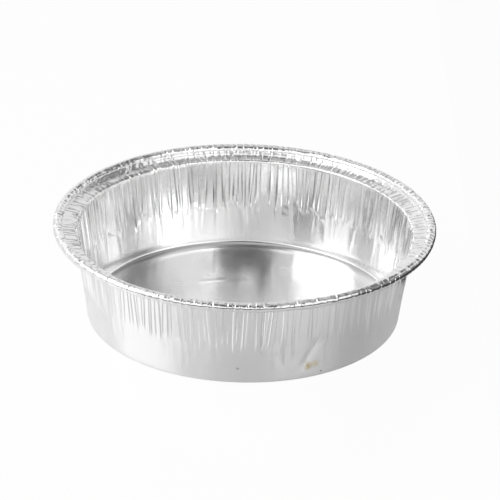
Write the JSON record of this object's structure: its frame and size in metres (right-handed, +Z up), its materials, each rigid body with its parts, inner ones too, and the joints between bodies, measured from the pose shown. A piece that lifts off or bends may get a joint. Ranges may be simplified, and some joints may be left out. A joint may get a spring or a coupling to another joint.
{
  "type": "foil pie tin",
  "caption": "Round deep pie tin pressed from thin aluminium foil, with a flat floor, a pleated flaring wall, a ribbed ledge and a full curled rim.",
  "frame": {"origin": "centre of the base, at the height of the table that the tin stands on", "axes": "+Z up through the open mouth; +X to the right and +Y away from the viewer in the picture's view"},
  "size_m": [0.182, 0.182, 0.0485],
  "materials": {
    "foil": "bright rolled foil, finely wrinkled"
  },
  "bodies": {
    "root": {"foil_tin": "foil"}
  },
  "joints": []
}
